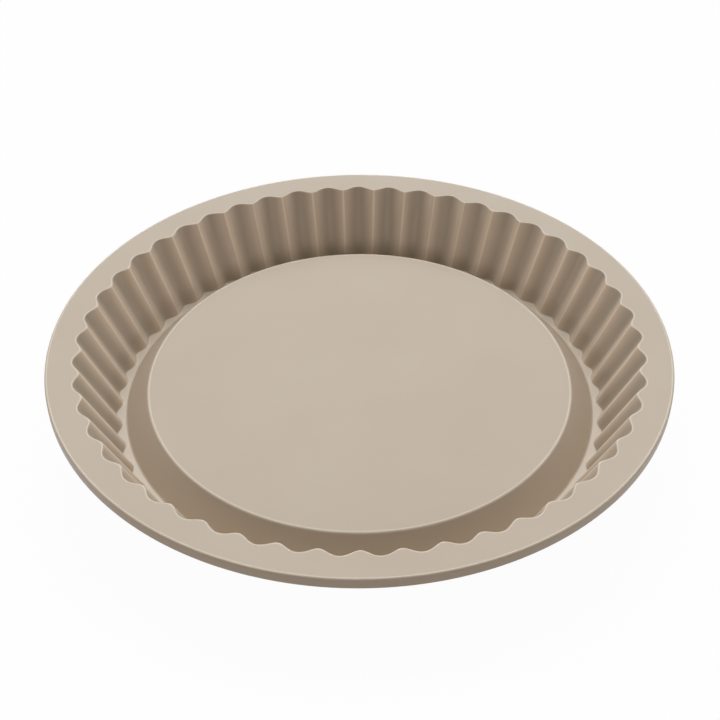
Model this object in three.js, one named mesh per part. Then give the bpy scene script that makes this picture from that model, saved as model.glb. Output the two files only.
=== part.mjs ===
// A round tart mould of baking silicone. It has a flat rim, a fluted side wall that leans
// outwards, a narrow gutter floor that is also the foot it stands on, and a raised centre
// with a sloped side, which leaves a well for the filling in the baked base.
// The mould is one soft shell of even thickness. Its zones are separate solids that lie
// on each other face to face, on level planes. Millimetres, +Z up, z = 0 on the table.

import * as THREE from 'three';

// Driving dimensions of the rim
const overallHeight = 30;
const rimDiameter = 240;
const rimWidth = 11.6; // from the outer edge to the middle line of the flutes
const rimThickness = 4.6;
const rimEdgeRound = 1; // outer edge, above and below
const rimLipRound = 0.9; // scalloped inner edge

// Driving dimensions of the fluted side wall
const wallLean = 13.5; // how far the wall comes in between the rim's top and the gutter floor
const wallThickness = 2;
const fluteCount = 49;
const fluteDepthTop = 2.6; // from lobe to ridge, level with the rim's top
const fluteDepthFoot = 2.3; // from lobe to ridge, level with the gutter floor
const lobeFullnessTop = 0.08; // above 0, the outward lobes are wider than the inward ridges
const lobeFullnessFoot = -0.1; // below 0, the ridges are wider

// Driving dimensions of the gutter floor
const gutterWidth = 2; // clear floor between the feet of the ridges and the raised centre
const floorThickness = 2;
const footRound = 1.2; // outer edge of the foot

// Driving dimensions of the raised centre
const centreRise = 10.3; // above the gutter floor
const centreSlope = 8.8; // how far its side comes in on the way up
const centreSideThickness = 2;
const centreTopThickness = 2;
const centreEdgeRound = 1;

// How finely the round shapes are stepped
const stepsPerFlute = 8;
const plainSteps = 96;
const easedEdgeSteps = 1;
const roundEdgeSteps = 2;

const siliconeColour = 0xc4b8a7;

// Levels of the planes on which the zones meet
const rimUnderside = overallHeight - rimThickness;
const gutterLevel = floorThickness;
const centreTop = gutterLevel + centreRise;
const centreUnderside = centreTop - centreTopThickness;

// The fluted wall: radius of its middle line, depth of its flutes and fullness of its lobes
// at a height
const rimRadius = rimDiameter / 2;
const wallRise = overallHeight - gutterLevel;
const wallSlope = wallLean / wallRise;
const wallOffset = wallThickness * Math.hypot(1, wallSlope);

function wallInside(z) {
  return rimRadius - rimWidth - wallSlope * (overallHeight - z);
}

function wallOutside(z) {
  return wallInside(z) + wallOffset;
}

function alongWall(foot, top, z) {
  return foot + (top - foot) * ((z - gutterLevel) / wallRise);
}

function fluteDepth(z) {
  return alongWall(fluteDepthFoot, fluteDepthTop, z);
}

function lobeFullness(z) {
  return alongWall(lobeFullnessFoot, lobeFullnessTop, z);
}

// The flutes' wave round the wall, 2 from lobe to ridge, with a ridge at the front
function fluteWave(angleFromFront, z) {
  const turn = fluteCount * angleFromFront + Math.PI;
  return Math.cos(turn) - lobeFullness(z) * Math.cos(2 * turn);
}

// The raised centre's side: outer and inner radius at a height
const ridgeFoot = wallInside(gutterLevel) - (fluteDepthFoot / 2) * (1 + lobeFullnessFoot);
const centreFootRadius = ridgeFoot - gutterWidth;
const sideSlope = centreSlope / centreRise;
const sideOffset = centreSideThickness * Math.hypot(1, sideSlope);

function sideOutside(z) {
  return centreFootRadius - sideSlope * (z - gutterLevel);
}

function sideInside(z) {
  return sideOutside(z) - sideOffset;
}

// Corners of a profile in the plane of radius r and height z. A round corner is cut back
// along both of its edges, and never by more than half of the shorter one.
function roundedCorner(corner, before, after) {
  const here = new THREE.Vector2(corner.r, corner.z);
  if (!corner.round) return [here];
  const back = new THREE.Vector2(before.r, before.z).sub(here);
  const ahead = new THREE.Vector2(after.r, after.z).sub(here);
  const cut = Math.min(corner.round, back.length() / 2, ahead.length() / 2);
  const start = here.clone().add(back.setLength(cut));
  const end = here.clone().add(ahead.setLength(cut));
  return new THREE.QuadraticBezierCurve(start, here, end).getPoints(corner.steps);
}

// A zone of the mould: its profile turned round the axis, anticlockwise from below, with
// the fluted corners carried in and out by the wave of the wall.
function mouldedZone(name, steps, corners) {
  const points = [];
  const fluted = [];
  corners.forEach((corner, i) => {
    const before = corners.at(i - 1);
    const after = corners[(i + 1) % corners.length];
    for (const point of roundedCorner(corner, before, after)) {
      points.push(point);
      fluted.push(corner.fluted === true);
    }
  });
  const isRing = corners[0].r > 0;
  if (isRing) {
    points.push(points[0].clone());
    fluted.push(fluted[0]);
  }
  const geometry = new THREE.LatheGeometry(points, steps);
  geometry.rotateX(Math.PI / 2);
  const position = geometry.attributes.position;
  for (let i = 0; i < position.count; i++) {
    if (!fluted[i % points.length]) continue;
    const x = position.getX(i);
    const y = position.getY(i);
    const z = position.getZ(i);
    const radius = Math.hypot(x, y);
    const moved = radius + (fluteDepth(z) / 2) * fluteWave(Math.atan2(x, -y), z);
    position.setXY(i, (x / radius) * moved, (y / radius) * moved);
  }
  geometry.computeVertexNormals();
  const material = new THREE.MeshStandardMaterial({
    color: siliconeColour,
    roughness: 0.6,
    metalness: 0,
  });
  const mesh = new THREE.Mesh(geometry, material);
  mesh.name = name;
  return mesh;
}

const flutedSteps = fluteCount * stepsPerFlute;

// Flat rim with a scalloped inner edge, which continues the inside of the wall
const rimFlange = mouldedZone('rim_flange', flutedSteps, [
  { r: wallInside(rimUnderside), z: rimUnderside, fluted: true },
  { r: rimRadius, z: rimUnderside, round: rimEdgeRound, steps: easedEdgeSteps },
  { r: rimRadius, z: overallHeight, round: rimEdgeRound, steps: roundEdgeSteps },
  {
    r: wallInside(overallHeight),
    z: overallHeight,
    round: rimLipRound,
    steps: easedEdgeSteps,
    fluted: true,
  },
]);

// Side wall between the gutter floor and the underside of the rim, fluted inside and out
const flutedWall = mouldedZone('fluted_side_wall', flutedSteps, [
  { r: wallInside(gutterLevel), z: gutterLevel, fluted: true },
  { r: wallOutside(gutterLevel), z: gutterLevel, fluted: true },
  { r: wallOutside(rimUnderside), z: rimUnderside, fluted: true },
  { r: wallInside(rimUnderside), z: rimUnderside, fluted: true },
]);

// Floor of the gutter, and the ring that the mould stands on
const footRing = mouldedZone('foot_ring', flutedSteps, [
  { r: sideInside(gutterLevel), z: 0 },
  { r: wallOutside(0), z: 0, round: footRound, steps: easedEdgeSteps, fluted: true },
  { r: wallOutside(gutterLevel), z: gutterLevel, fluted: true },
  { r: sideInside(gutterLevel), z: gutterLevel },
]);

// Sloped side of the raised centre
const centreSide = mouldedZone('centre_side', plainSteps, [
  { r: sideInside(gutterLevel), z: gutterLevel },
  { r: sideOutside(gutterLevel), z: gutterLevel },
  { r: sideOutside(centreUnderside), z: centreUnderside },
  { r: sideInside(centreUnderside), z: centreUnderside },
]);

// Flat top of the raised centre, with the recess of the underside below it
const centrePlateau = mouldedZone('centre_plateau', plainSteps, [
  { r: 0, z: centreUnderside },
  { r: sideOutside(centreUnderside), z: centreUnderside },
  { r: sideOutside(centreTop), z: centreTop, round: centreEdgeRound, steps: roundEdgeSteps },
  { r: 0, z: centreTop },
]);

const tartMould = new THREE.Group();
tartMould.add(rimFlange, flutedWall, footRing, centreSide, centrePlateau);

export default tartMould;
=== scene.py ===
# %% [markdown]
# # A silicone tart mould
# The mould is one soft moulding of baking silicone, 24 cm across and 3 cm high. It has a flat
# rim, a wall of straight flutes that leans outwards, a narrow gutter, and a raised centre that
# leaves a well for the filling when the baked base is turned over.
# This lesson dresses the solid model of the mould: the solids give the sizes and stay hidden,
# and each zone gets a fine surface with real round-overs and a silicone finish.

# %% Load the solid model
import math
from collections import namedtuple

import bmesh
import bpy
from mathutils import Matrix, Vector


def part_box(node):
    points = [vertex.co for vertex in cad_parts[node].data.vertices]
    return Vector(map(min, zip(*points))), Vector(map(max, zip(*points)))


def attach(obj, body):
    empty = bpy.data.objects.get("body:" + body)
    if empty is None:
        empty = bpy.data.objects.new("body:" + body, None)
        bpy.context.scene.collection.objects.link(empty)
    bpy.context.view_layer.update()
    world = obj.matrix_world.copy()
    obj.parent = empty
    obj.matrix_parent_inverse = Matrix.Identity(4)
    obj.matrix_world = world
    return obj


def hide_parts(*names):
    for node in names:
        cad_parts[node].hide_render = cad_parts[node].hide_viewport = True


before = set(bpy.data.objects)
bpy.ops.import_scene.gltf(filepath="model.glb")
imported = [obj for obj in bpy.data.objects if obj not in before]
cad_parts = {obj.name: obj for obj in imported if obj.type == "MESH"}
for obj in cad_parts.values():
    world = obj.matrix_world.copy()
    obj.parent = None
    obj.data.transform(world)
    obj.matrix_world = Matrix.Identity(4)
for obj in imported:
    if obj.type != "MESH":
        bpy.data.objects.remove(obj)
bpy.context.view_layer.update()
print("solids:", sorted(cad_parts))

# %% [markdown]
# ## Sizes
# A zone has to lie exactly where its solid lies, so levels and radii are read from the solids'
# boxes. Only the sizes that a box can't tell, such as the thickness of the wall, are written out.

# %% Read the levels and radii
MM = 0.001

# A solid's box is given by its low and its high corner
rim_low, rim_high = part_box("rim_flange")
plateau_low, plateau_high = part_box("centre_plateau")
foot_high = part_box("foot_ring")[1]
side_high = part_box("centre_side")[1]

overall_height = rim_high.z
rim_underside = rim_low.z
gutter_level = foot_high.z
centre_underside = plateau_low.z
centre_top = plateau_high.z
rim_radius = rim_high.x
centre_foot_radius = side_high.x
centre_eave_radius = plateau_high.x

RIM_WIDTH = 11.6 * MM
WALL_LEAN = 13.5 * MM
WALL_THICKNESS = 2 * MM
SIDE_THICKNESS = 2 * MM
print(f"rim radius {rim_radius / MM:.1f} mm, gutter at {gutter_level / MM:.1f} mm,",
      f"raised centre at {centre_top / MM:.1f} mm")

# %% [markdown]
# ## Camera
# The picture was taken from the front, about 40 degrees above the table and fairly close, so the
# near side of the rim looks larger. A camera object needs a lens, a place and a turn. The place is
# given by its distance and height above the middle of the rim, and the turn by three steps: tip up
# from looking straight down, swing sideways, and roll.

# %% Place the camera
# Blender takes a lens and its sensor in millimetres
LENS = 69.94
SENSOR_WIDTH = 36
# Where the camera stands, seen from the middle of the rim
CAMERA_DISTANCE = 540 * MM
CAMERA_ELEVATION = math.radians(39.37)
# Where it looks: down from level, to the right, and rolled clockwise
CAMERA_PITCH = math.radians(40.085)
CAMERA_SWING = math.radians(0.035)
CAMERA_ROLL = math.radians(0.275)

camera_data = bpy.data.cameras.new("camera")
camera_data.sensor_width = SENSOR_WIDTH
camera_data.lens = LENS
camera = bpy.data.objects.new("camera", camera_data)
bpy.context.scene.collection.objects.link(camera)
bpy.context.scene.camera = camera

tip = Matrix.Rotation(math.pi / 2 - CAMERA_PITCH, 4, "X")
swing = Matrix.Rotation(-CAMERA_SWING, 4, "Z")
roll = Matrix.Rotation(-CAMERA_ROLL, 4, "Z")
stand = Matrix.Translation((
    0,
    -CAMERA_DISTANCE * math.cos(CAMERA_ELEVATION),
    overall_height + CAMERA_DISTANCE * math.sin(CAMERA_ELEVATION),
))
camera.matrix_world = stand @ swing @ tip @ roll
print(f"camera {stand.translation.z / MM:.0f} mm above the table")

# %% [markdown]
# ## Flutes
# The flutes are the mark of a tart mould. Seen from above, the edge of the rim runs as a wave with
# wide lobes that bulge outwards and narrower ridges that point inwards, 49 times round. Towards the
# foot the wave gets shallower and its ridges wider and rounder. One formula gives it at every height,
# so that the rim, the wall and the foot stay in step.

# %% Shape of the wall and its wave
FLUTE_COUNT = 49
FLUTE_DEPTH_TOP = 2.6 * MM
FLUTE_DEPTH_FOOT = 2.3 * MM
# Share of a second, finer wave: above 0 it widens the lobes, below 0 the ridges
LOBE_FULLNESS_TOP = 0.08
LOBE_FULLNESS_FOOT = -0.1

wall_rise = overall_height - gutter_level
wall_slope = WALL_LEAN / wall_rise
wall_offset = WALL_THICKNESS * math.hypot(1, wall_slope)
side_slope = (centre_foot_radius - centre_eave_radius) / (centre_underside - gutter_level)
side_offset = SIDE_THICKNESS * math.hypot(1, side_slope)


def wall_inside(z):
    """Radius of the wave's middle line on the inside of the wall."""
    return rim_radius - RIM_WIDTH - wall_slope * (overall_height - z)


def wall_outside(z):
    """Radius of the wave's middle line on the outside of the wall."""
    return wall_inside(z) + wall_offset


def side_outside(z):
    """Radius of the raised centre's sloped side, outside."""
    return centre_foot_radius - side_slope * (z - gutter_level)


def side_inside(z):
    """Radius of the same side, seen from below."""
    return side_outside(z) - side_offset


def along_wall(foot, top, z):
    """A value that changes evenly from the foot of the wall to its top."""
    return foot + (top - foot) * (z - gutter_level) / wall_rise


def flute_depth(z):
    """Depth of the flutes from lobe to ridge at a height."""
    return along_wall(FLUTE_DEPTH_FOOT, FLUTE_DEPTH_TOP, z)


def lobe_fullness(z):
    """Share of the finer wave at a height."""
    return along_wall(LOBE_FULLNESS_FOOT, LOBE_FULLNESS_TOP, z)


def flute_wave(angle_from_front, fullness):
    """The wave itself, about 1 on the lobes and -1 on the ridges, with a ridge at the front."""
    turn = FLUTE_COUNT * angle_from_front + math.pi
    return math.cos(turn) - fullness * math.cos(2 * turn)


print(f"the wall leans by {math.degrees(math.atan(wall_slope)):.1f} degrees")

# %% [markdown]
# ## Turning a zone
# Every zone is round and repeats with the flutes, so a lathe is the natural tool: draw half of the
# section as a few joined points, round its corners, and spin it through the width of one flute. A
# vertex bevel rounds a corner of a bare line, which is simpler than bevelling edges after the spin.
# Two numbers are stored with the points for the finish. Painted light says how much a point is painted
# paler, as a painted highlight along an edge. Relief gives its place on the flutes, from -1 in the
# valleys to 1 on the crests of the ridges.

# %% Helpers that turn a wedge
# Steps of the spin over one flute, for a zone that follows the wave and for a plain one
FLUTED_STEPS = 24
PLAIN_STEPS = 8
ROUND_SEGMENTS = 5
FLUTE_PITCH = 2 * math.pi / FLUTE_COUNT
PAINTED_LIGHT = "wear"
# A painted highlight line fades over this width of the flat, and below the edge over this share of the
# cut
LINE_WIDTH = 0.3 * MM
LINE_DROP = 0.3

# A corner of a section. A cut rounds it, and painted light from 0 to 1 paints its edge paler, as a
# painted highlight line.
Corner = namedtuple("Corner", "radius height cut wear", defaults=(0, 0))


def spin(bm, angle, steps, copies):
    """Spins everything round the axis, as a swept surface or as copies."""
    bmesh.ops.spin(bm, geom=bm.verts[:] + bm.edges[:] + bm.faces[:], cent=(0, 0, 0), axis=(0, 0, 1),
                   dvec=(0, 0, 0), angle=angle, steps=steps, use_duplicate=copies)


def turned_wedge(corners, steps, closed=True):
    """Rounds the corners of a section and spins it by one flute."""
    bm = bmesh.new()
    wear = bm.verts.layers.float.new(PAINTED_LIGHT)
    points = [bm.verts.new((corner.radius, 0, corner.height)) for corner in corners]
    for start, end in zip(points, points[1:]):
        bm.edges.new((start, end))
    if closed:
        bm.edges.new((points[-1], points[0]))
    for point, corner in zip(points, corners):
        # Painted light at the point, and a painted highlight that fades down the round-over
        point[wear] = corner.wear
        if corner.cut:
            made = bmesh.ops.bevel(bm, geom=[point], offset=corner.cut, segments=ROUND_SEGMENTS,
                                   profile=0.5, affect="VERTICES", material=-1)
            for vert in made["verts"]:
                drop = abs(corner.height - vert.co.z) / corner.cut
                vert[wear] = corner.wear * max(0, 1 - drop / LINE_DROP)
    spin(bm, FLUTE_PITCH, steps, False)
    return bm


print(f"one wedge spans {math.degrees(FLUTE_PITCH):.2f} degrees")

# %% [markdown]
# Where a zone belongs to the wall, the points of its wedge move in or out along their radius by the
# wave. Towards the foot the stored relief fades, on the crests a little and in the valleys more, so
# that the painted highlight of the crests and the painted shade of the valleys are weaker there.
# The finished wedge is copied round the axis, which is quicker than a spin in many small steps.
# A flat face beside a narrow round-over would pick up a false gradient from averaged normals, so
# the normals are weighted by area, and corners steeper than a limit are kept sharp.

# %% Helpers that flute a wedge and finish a zone
RELIEF = "relief"
# Share of the relief that is left at the foot of the wall, for the painted highlight and the painted
# shade
FOOT_CREST = 0.975
FOOT_VALLEY = 0.45
MERGE_DISTANCE = 0.001 * MM
SHARP_ANGLE = math.radians(34)


def flute(bm, nearest=0, farthest=math.inf):
    """Carries the points between two radii in and out by the wave."""
    relief = bm.verts.layers.float.new(RELIEF)
    for vert in bm.verts:
        radius = vert.co.xy.length
        if nearest < radius < farthest:
            fullness = lobe_fullness(vert.co.z)
            wave = flute_wave(math.atan2(vert.co.x, -vert.co.y), fullness)
            vert.co.xy *= (radius + flute_depth(vert.co.z) / 2 * wave) / radius
            # Relief drives painted shade in the valleys and painted light on the ridges
            if gutter_level < vert.co.z < overall_height:
                place = -wave - fullness
                faded = FOOT_CREST if place > 0 else FOOT_VALLEY
                vert[relief] = place * along_wall(faded, 1, vert.co.z)


def finish_zone(bm, name, node):
    """Copies the wedge round, shades the piece, and lets it stand for its solid."""
    spin(bm, 2 * math.pi - FLUTE_PITCH, FLUTE_COUNT - 1, True)
    bmesh.ops.remove_doubles(bm, verts=bm.verts, dist=MERGE_DISTANCE)
    bmesh.ops.recalc_face_normals(bm, faces=bm.faces)
    for face in bm.faces:
        face.smooth = True
    for edge in bm.edges:
        edge.smooth = edge.calc_face_angle(math.pi) < SHARP_ANGLE
    open_edges = sum(not edge.is_manifold for edge in bm.edges)
    mesh = bpy.data.meshes.new(name)
    bm.to_mesh(mesh)
    bm.free()
    piece = bpy.data.objects.new(name, mesh)
    bpy.context.scene.collection.objects.link(piece)
    weighted = piece.modifiers.new("weighted normals", "WEIGHTED_NORMAL")
    weighted.keep_sharp = True
    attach(piece, "root")
    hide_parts(node)
    print(f"{name}: {len(mesh.polygons)} faces, {open_edges} open edges")
    return piece


print(f"corners over {math.degrees(SHARP_ANGLE):.0f} degrees stay sharp")

# %% [markdown]
# ## Rim
# The rim is a flat band, nearly 5 mm thick, which stiffens the soft wall. Its outer edge is rounded
# above and below, and its inner edge follows the flutes with a small soft lip that catches light. A
# plain point close beside each upper edge ends its painted highlight line, so that it stays narrow.

# %% Make the rim
RIM_UNDER_CUT = 0.9 * MM
RIM_EDGE_CUT = 0.9 * MM
# Painted highlights along the outer edge and along the lip
RIM_EDGE_HIGHLIGHT = 1
LIP_CUT = 0.5 * MM
LIP_HIGHLIGHT = 0.9

lip_radius = wall_inside(overall_height)
section = [
    Corner(wall_inside(rim_underside), rim_underside),
    Corner(rim_radius, rim_underside, RIM_UNDER_CUT),
    Corner(rim_radius, overall_height, RIM_EDGE_CUT, RIM_EDGE_HIGHLIGHT),
    Corner(rim_radius - RIM_EDGE_CUT - LINE_WIDTH, overall_height),
    Corner(lip_radius + LIP_CUT + LINE_WIDTH, overall_height),
    Corner(lip_radius, overall_height, LIP_CUT, LIP_HIGHLIGHT),
]
bm = turned_wedge(section, FLUTED_STEPS)
flute(bm, farthest=(lip_radius + rim_radius) / 2)
rim = finish_zone(bm, "mould_rim", "rim_flange")

# %% [markdown]
# ## Fluted wall
# The wall is fluted on both sides, because the shell has an even thickness. Its foot runs into the
# gutter floor, and its top into the underside of the rim, with a narrow hollow round-over each. In
# the section such a round-over is a corner whose one edge lies along the floor: the cut takes up
# that whole edge, so that the curve ends on the floor without a step. The curve at the foot carries a
# painted highlight line.

# %% Make the wall
WALL_FOOT_CUT = 0.5 * MM
# Painted highlight along the curve at the foot of the wall
WALL_FOOT_HIGHLIGHT = 0.9
RIM_ROOT_CUT = 1.6 * MM

section = [
    Corner(wall_inside(gutter_level) - WALL_FOOT_CUT, gutter_level, wear=WALL_FOOT_HIGHLIGHT),
    Corner(wall_outside(gutter_level), gutter_level),
    Corner(wall_outside(rim_underside), rim_underside, RIM_ROOT_CUT),
    Corner(wall_outside(rim_underside) + RIM_ROOT_CUT, rim_underside),
    Corner(wall_inside(rim_underside), rim_underside),
    Corner(wall_inside(gutter_level), gutter_level, WALL_FOOT_CUT, WALL_FOOT_HIGHLIGHT),
]
bm = turned_wedge(section, FLUTED_STEPS)
flute(bm)
wall = finish_zone(bm, "mould_fluted_wall", "fluted_side_wall")

# %% [markdown]
# ## Foot
# The gutter floor is the lowest part of the shell, and the mould stands on its underside. The outer
# edge of the foot follows the flutes and is well rounded. The gutter floor is painted a little paler
# from the wall to the raised centre: painted light against the shade between them.

# %% Make the foot
FOOT_OUTER_CUT = 1.5 * MM
FOOT_INNER_CUT = 0.6 * MM
# Painted light on the gutter floor
GUTTER_PAINTED_LIGHT = 0.7

foot_inside = side_inside(gutter_level)
section = [
    Corner(foot_inside, 0, FOOT_INNER_CUT),
    Corner(wall_outside(0), 0, FOOT_OUTER_CUT),
    Corner(wall_outside(gutter_level), gutter_level),
    Corner(wall_inside(gutter_level), gutter_level, wear=GUTTER_PAINTED_LIGHT),
    Corner(centre_foot_radius, gutter_level, wear=GUTTER_PAINTED_LIGHT),
    Corner(foot_inside, gutter_level),
]
bm = turned_wedge(section, FLUTED_STEPS)
flute(bm, nearest=(centre_foot_radius + wall_inside(gutter_level)) / 2)
foot = finish_zone(bm, "mould_foot", "foot_ring")

# %% [markdown]
# ## Raised centre
# The raised centre has a sloped side, so that the baked base slips off, and a flat top with a softly
# rounded edge. Below, the side runs into the underside of the top with a wider hollow round-over.
# The top is a disc, so its section starts and ends on the axis instead of closing on itself.

# %% Make the side and the top of the raised centre
SIDE_FOOT_CUT = 0.5 * MM
RECESS_CUT = 2 * MM
PLATEAU_EDGE_CUT = 0.7 * MM
# Painted highlight along the rounded edge of the top
PLATEAU_EDGE_HIGHLIGHT = 0.9

section = [
    Corner(side_inside(gutter_level), gutter_level),
    Corner(side_outside(gutter_level) + SIDE_FOOT_CUT, gutter_level),
    Corner(side_outside(gutter_level), gutter_level, SIDE_FOOT_CUT),
    Corner(side_outside(centre_underside), centre_underside),
    Corner(side_inside(centre_underside) - RECESS_CUT, centre_underside),
    Corner(side_inside(centre_underside), centre_underside, RECESS_CUT),
]
bm = turned_wedge(section, PLAIN_STEPS)
side = finish_zone(bm, "mould_centre_side", "centre_side")

edge_radius = side_outside(centre_top)
section = [
    Corner(0, centre_underside),
    Corner(side_outside(centre_underside), centre_underside),
    Corner(edge_radius, centre_top, PLATEAU_EDGE_CUT, PLATEAU_EDGE_HIGHLIGHT),
    Corner(edge_radius - PLATEAU_EDGE_CUT - LINE_WIDTH, centre_top),
    Corner(0, centre_top),
]
bm = turned_wedge(section, PLAIN_STEPS, closed=False)
plateau = finish_zone(bm, "mould_centre_top", "centre_plateau")

# %% [markdown]
# ## Baking silicone
# Platinum-cured silicone with a mineral filler: opaque and warm grey-beige, with a faint cloudiness
# where the filler flowed. A material is a chain of small nodes, each made by one helper. The clouds
# come from a noise that is fixed to the mould, so that they stay in place whichever way it is turned.

# %% Helpers for materials
def linear(hex_colour):
    """An sRGB hex colour as linear red, green, blue and alpha."""
    channels = [int(hex_colour[i:i + 2], 16) / 255 for i in (1, 3, 5)]
    return [c / 12.92 if c <= 0.04045 else ((c + 0.055) / 1.055) ** 2.4 for c in channels] + [1]


def add_node(tree, kind, inputs, **settings):
    """Adds a node, sets it, and fills its sockets with values or with other nodes' outputs."""
    node = tree.nodes.new(kind)
    for name, value in settings.items():
        setattr(node, name, value)
    for socket, value in inputs.items():
        if isinstance(value, bpy.types.NodeSocket):
            tree.links.new(value, node.inputs[socket])
        else:
            node.inputs[socket].default_value = value
    return node


print(f"a half-bright grey is {linear('#808080')[0]:.2f} in linear light")

# %% Clouded base colour
SILICONE = "#c4b6a4"
SILICONE_CLOUD = "#c0b19e"
CLOUD_SIZE = 30 * MM
CLOUD_DETAIL = 3

silicone = bpy.data.materials.new("baking_silicone_satin")
silicone.use_nodes = True
tree = silicone.node_tree
tree.nodes.clear()
position = add_node(tree, "ShaderNodeTexCoord", {})
cloud = add_node(tree, "ShaderNodeTexNoise", {
    "Vector": position.outputs["Object"],
    "Scale": 1 / CLOUD_SIZE,
    "Detail": CLOUD_DETAIL,
})
tone = add_node(tree, "ShaderNodeMix", {
    "Factor": cloud.outputs["Fac"],
    "A": linear(SILICONE),
    "B": linear(SILICONE_CLOUD),
}, data_type="RGBA")
print(f"clouds of about {CLOUD_SIZE / MM:.0f} mm")

# %% [markdown]
# Light and shade are painted on along the shape. The valleys of the flutes get painted shade, the ridges
# painted light with a painted highlight on their crests, the edges painted highlights and the gutter
# floor painted light. They are drawn from the painted light and the relief stored with the points.

# %% Painted light and shade
SILICONE_PAINTED_LIGHT = "#e0d4c3"
# Painted shade in the valleys and painted light on the ridges
VALLEY_SHADE = 0.74
RIDGE_SHADE = 1.26
# The painted highlight on the crests is the top of the wave, from this relief to its peak of 1, and is
# this much paler
CREST_START = 0.94
CREST_HIGHLIGHT = 0.18

relief = add_node(tree, "ShaderNodeAttribute", {}, attribute_name=RELIEF)
shade = add_node(tree, "ShaderNodeMapRange", {
    "Value": relief.outputs["Fac"],
    "From Min": -1,
    "To Min": VALLEY_SHADE,
    "To Max": RIDGE_SHADE,
})
shaded = add_node(tree, "ShaderNodeVectorMath", {
    0: tone.outputs["Result"],
    "Scale": shade.outputs["Result"],
}, operation="SCALE")
crest = add_node(tree, "ShaderNodeMapRange", {
    "Value": relief.outputs["Fac"],
    "From Min": CREST_START,
    "To Max": CREST_HIGHLIGHT,
})
crest_highlighted = add_node(tree, "ShaderNodeVectorMath", {
    0: shaded.outputs["Vector"],
    1: crest.outputs["Result"],
}, operation="ADD")
# Painted highlights on the edges and painted light on the gutter floor mix towards a paler colour
wear = add_node(tree, "ShaderNodeAttribute", {}, attribute_name=PAINTED_LIGHT)
painted_light_mix = add_node(tree, "ShaderNodeMix", {
    "Factor": wear.outputs["Fac"],
    "A": crest_highlighted.outputs["Vector"],
    "B": linear(SILICONE_PAINTED_LIGHT),
}, data_type="RGBA")
print(f"valleys at {VALLEY_SHADE:.0%} and ridges at {RIDGE_SHADE:.0%} of the base colour")

# %% [markdown]
# The satin skin is copied from a fine steel tool. It mirrors the light behind the mould as a pale
# veil on level faces, while faces in the shade keep the deeper, warmer tone of the filler. Close up
# the eye finds a very fine grain. It is far too shallow to model, so a bump gives it.

# %% Satin skin
# A typical value for silicone rubber
SILICONE_IOR = 1.41
# The roughness drifts a little with the clouds
ROUGHNESS_LOW = 0.36
ROUGHNESS_HIGH = 0.44
# The grain of the tool is about 0.1 mm, too fine to show, so it is drawn coarser
GRAIN_SIZE = 0.7 * MM
GRAIN_DETAIL = 2
GRAIN_HEIGHT = 0.004 * MM

satin = add_node(tree, "ShaderNodeMapRange", {
    "Value": cloud.outputs["Fac"],
    "To Min": ROUGHNESS_LOW,
    "To Max": ROUGHNESS_HIGH,
})
grain = add_node(tree, "ShaderNodeTexNoise", {
    "Vector": position.outputs["Object"],
    "Scale": 1 / GRAIN_SIZE,
    "Detail": GRAIN_DETAIL,
})
bump = add_node(tree, "ShaderNodeBump", {
    "Height": grain.outputs["Fac"],
    "Distance": GRAIN_HEIGHT,
})
skin = add_node(tree, "ShaderNodeBsdfPrincipled", {
    "Base Color": painted_light_mix.outputs["Result"],
    "Roughness": satin.outputs["Result"],
    "Normal": bump.outputs["Normal"],
    "IOR": SILICONE_IOR,
})
add_node(tree, "ShaderNodeOutputMaterial", {"Surface": skin.outputs["BSDF"]})

zones = [rim, wall, foot, side, plateau]
for zone in zones:
    zone.data.materials.append(silicone)
print("silicone on", len(zones), "zones")

# %% [markdown]
# ## Floor
# The mould stands on white studio paper. In this light plain paper would come out grey, and more
# light would bleach the mould, so the paper glows where the eye or a reflection meets it. For light
# that bounces from it on to the mould it is a plain grey, and a small share of that grey is mixed
# into the glow too, which keeps a faint shadow.

# %% Make the floor
FLOOR_SIDE = 8000 * MM
# A hair below the foot, so that the two faces don't lie in one plane
FLOOR_GAP = 0.02 * MM

floor_mesh = bpy.data.meshes.new("floor")
bm = bmesh.new()
bmesh.ops.create_grid(bm, x_segments=1, y_segments=1, size=FLOOR_SIDE / 2,
                      matrix=Matrix.Translation((0, 0, -FLOOR_GAP)))
bm.to_mesh(floor_mesh)
bm.free()
floor = bpy.data.objects.new("floor", floor_mesh)
bpy.context.scene.collection.objects.link(floor)
print(f"floor {FLOOR_SIDE / MM:.0f} mm wide")

# %% White paper
PAPER_GREY = "#aaaaaa"
PAPER_GLOW = 1.05
PAPER_SHADOW_SHARE = 0.08


def seen_by_eye(tree):
    """1 where a ray comes from the camera or a reflection, so that white is seen as white."""
    ray = add_node(tree, "ShaderNodeLightPath", {})
    seen = ray.outputs["Is Camera Ray"]
    for kind in ("Is Glossy Ray", "Is Transmission Ray"):
        both = add_node(tree, "ShaderNodeMath", {0: seen, 1: ray.outputs[kind]}, operation="MAXIMUM")
        seen = both.outputs["Value"]
    return seen


paper = bpy.data.materials.new("white_studio_paper")
paper.use_nodes = True
tree = paper.node_tree
tree.nodes.clear()
matte = add_node(tree, "ShaderNodeBsdfDiffuse", {"Color": linear(PAPER_GREY)})
glow = add_node(tree, "ShaderNodeEmission", {"Strength": PAPER_GLOW})
share = add_node(tree, "ShaderNodeMath", {
    0: seen_by_eye(tree),
    1: 1 - PAPER_SHADOW_SHARE,
}, operation="MULTIPLY")
mixed = add_node(tree, "ShaderNodeMixShader", {
    0: share.outputs["Value"],
    1: matte.outputs["BSDF"],
    2: glow.outputs["Emission"],
})
add_node(tree, "ShaderNodeOutputMaterial", {"Surface": mixed.outputs["Shader"]})
floor_mesh.materials.append(paper)
print(f"the shadow shows through {PAPER_SHADOW_SHARE:.0%} of the paper")

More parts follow.
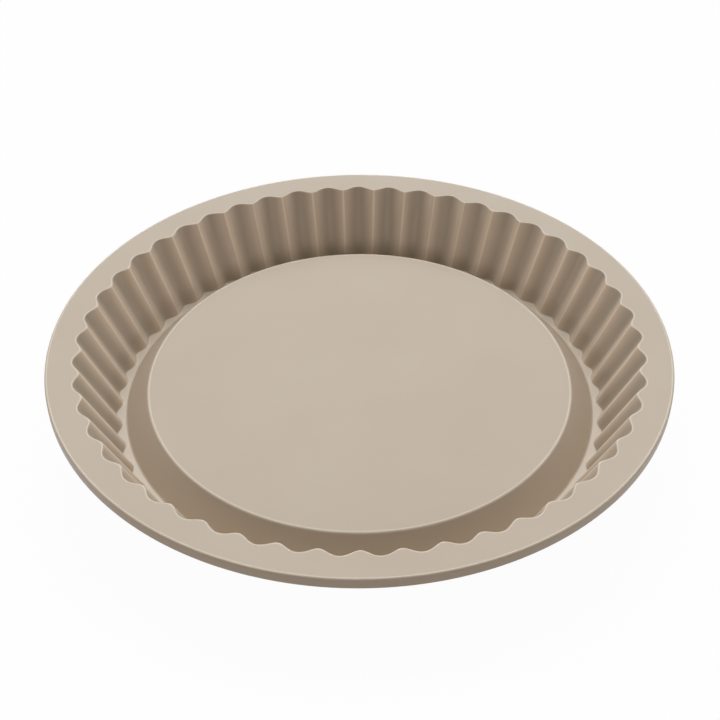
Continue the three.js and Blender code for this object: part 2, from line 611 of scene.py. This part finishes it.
# %% [markdown]
# ## Light
# A large soft light stands high behind the mould and a smaller one at each back corner, so that level
# faces are bright and faces that look towards the viewer are in soft shade. Weak warm lights from the
# front and low from both sides open up that shade and model the flutes. All are sun lamps, which act
# from far away and keep the tone even across the mould. Their spread softens the shadows.

# %% Light the mould
WHITE = "#ffffff"
WARM = "#fff1e7"


def far_light(name, azimuth, elevation, spread, strength, colour):
    """A far soft light. Azimuth counts from the front to the right, elevation from the table."""
    data = bpy.data.lights.new(name, "SUN")
    data.angle = math.radians(spread)
    data.energy = strength
    data.color = linear(colour)[:3]
    lamp = bpy.data.objects.new(name, data)
    bpy.context.scene.collection.objects.link(lamp)
    tilt = Matrix.Rotation(math.radians(90 - elevation), 4, "X")
    turn = Matrix.Rotation(math.radians(azimuth), 4, "Z")
    lamp.matrix_world = turn @ tilt


far_light("key_behind", azimuth=180, elevation=51, spread=50, strength=1.68, colour=WHITE)
for hand, sign in (("right", 1), ("left", -1)):
    far_light(f"{hand}_behind", azimuth=sign * 130, elevation=40, spread=30, strength=0.61, colour=WHITE)
    far_light(f"{hand}_fill", azimuth=sign * 82, elevation=8, spread=25, strength=0.43, colour=WARM)
far_light("front_fill", azimuth=0, elevation=17, spread=35, strength=0.6, colour=WARM)
print("lights:", [lamp.name for lamp in bpy.data.lights])

# %% [markdown]
# The world is white where the eye or a reflection meets it, like the paper, and adds only a little
# light of its own. The Standard view shows a colour about as it is written.

# %% Make the world white
SKY_SEEN = 1
SKY_LIGHT = 0.05

world = bpy.data.worlds.new("studio")
bpy.context.scene.world = world
world.use_nodes = True
tree = world.node_tree
tree.nodes.clear()
sky_strength = add_node(tree, "ShaderNodeMapRange", {
    "Value": seen_by_eye(tree),
    "To Min": SKY_LIGHT,
    "To Max": SKY_SEEN,
})
sky = add_node(tree, "ShaderNodeBackground", {
    "Color": linear(WHITE),
    "Strength": sky_strength.outputs["Result"],
})
add_node(tree, "ShaderNodeOutputWorld", {"Surface": sky.outputs["Background"]})

bpy.context.scene.view_settings.view_transform = "Standard"
print("view:", bpy.context.scene.view_settings.view_transform)
